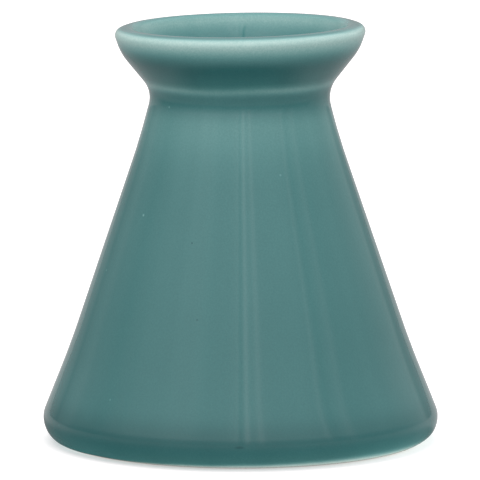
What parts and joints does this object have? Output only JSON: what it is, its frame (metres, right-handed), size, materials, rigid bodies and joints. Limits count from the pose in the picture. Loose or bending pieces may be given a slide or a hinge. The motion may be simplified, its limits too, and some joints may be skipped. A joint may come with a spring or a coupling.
{
  "type": "glazed ceramic bud vase",
  "caption": "Small conical glazed pottery vase with a pinched neck and a flared open mouth, for flower stems. It stands on a bare clay foot ring.",
  "frame": {"origin": "on the axis, in the plane of the foot ring that the vase stands on", "axes": "+Z along the axis, from the foot towards the mouth; the vase is round, so X and Y are free"},
  "size_m": [0.0942, 0.0942, 0.1],
  "materials": {
    "clay": "bare fired cream clay, finely sandy",
    "teal_glaze": "glossy translucent teal glaze that breaks pale green where it is thin",
    "pale_teal_glaze": "glossy translucent teal glaze, a little paler than outside"
  },
  "bodies": {
    "root": {"clay_body": "clay", "outer_glaze": "teal_glaze", "inner_glaze": "pale_teal_glaze", "base_glaze": "teal_glaze"}
  },
  "joints": []
}
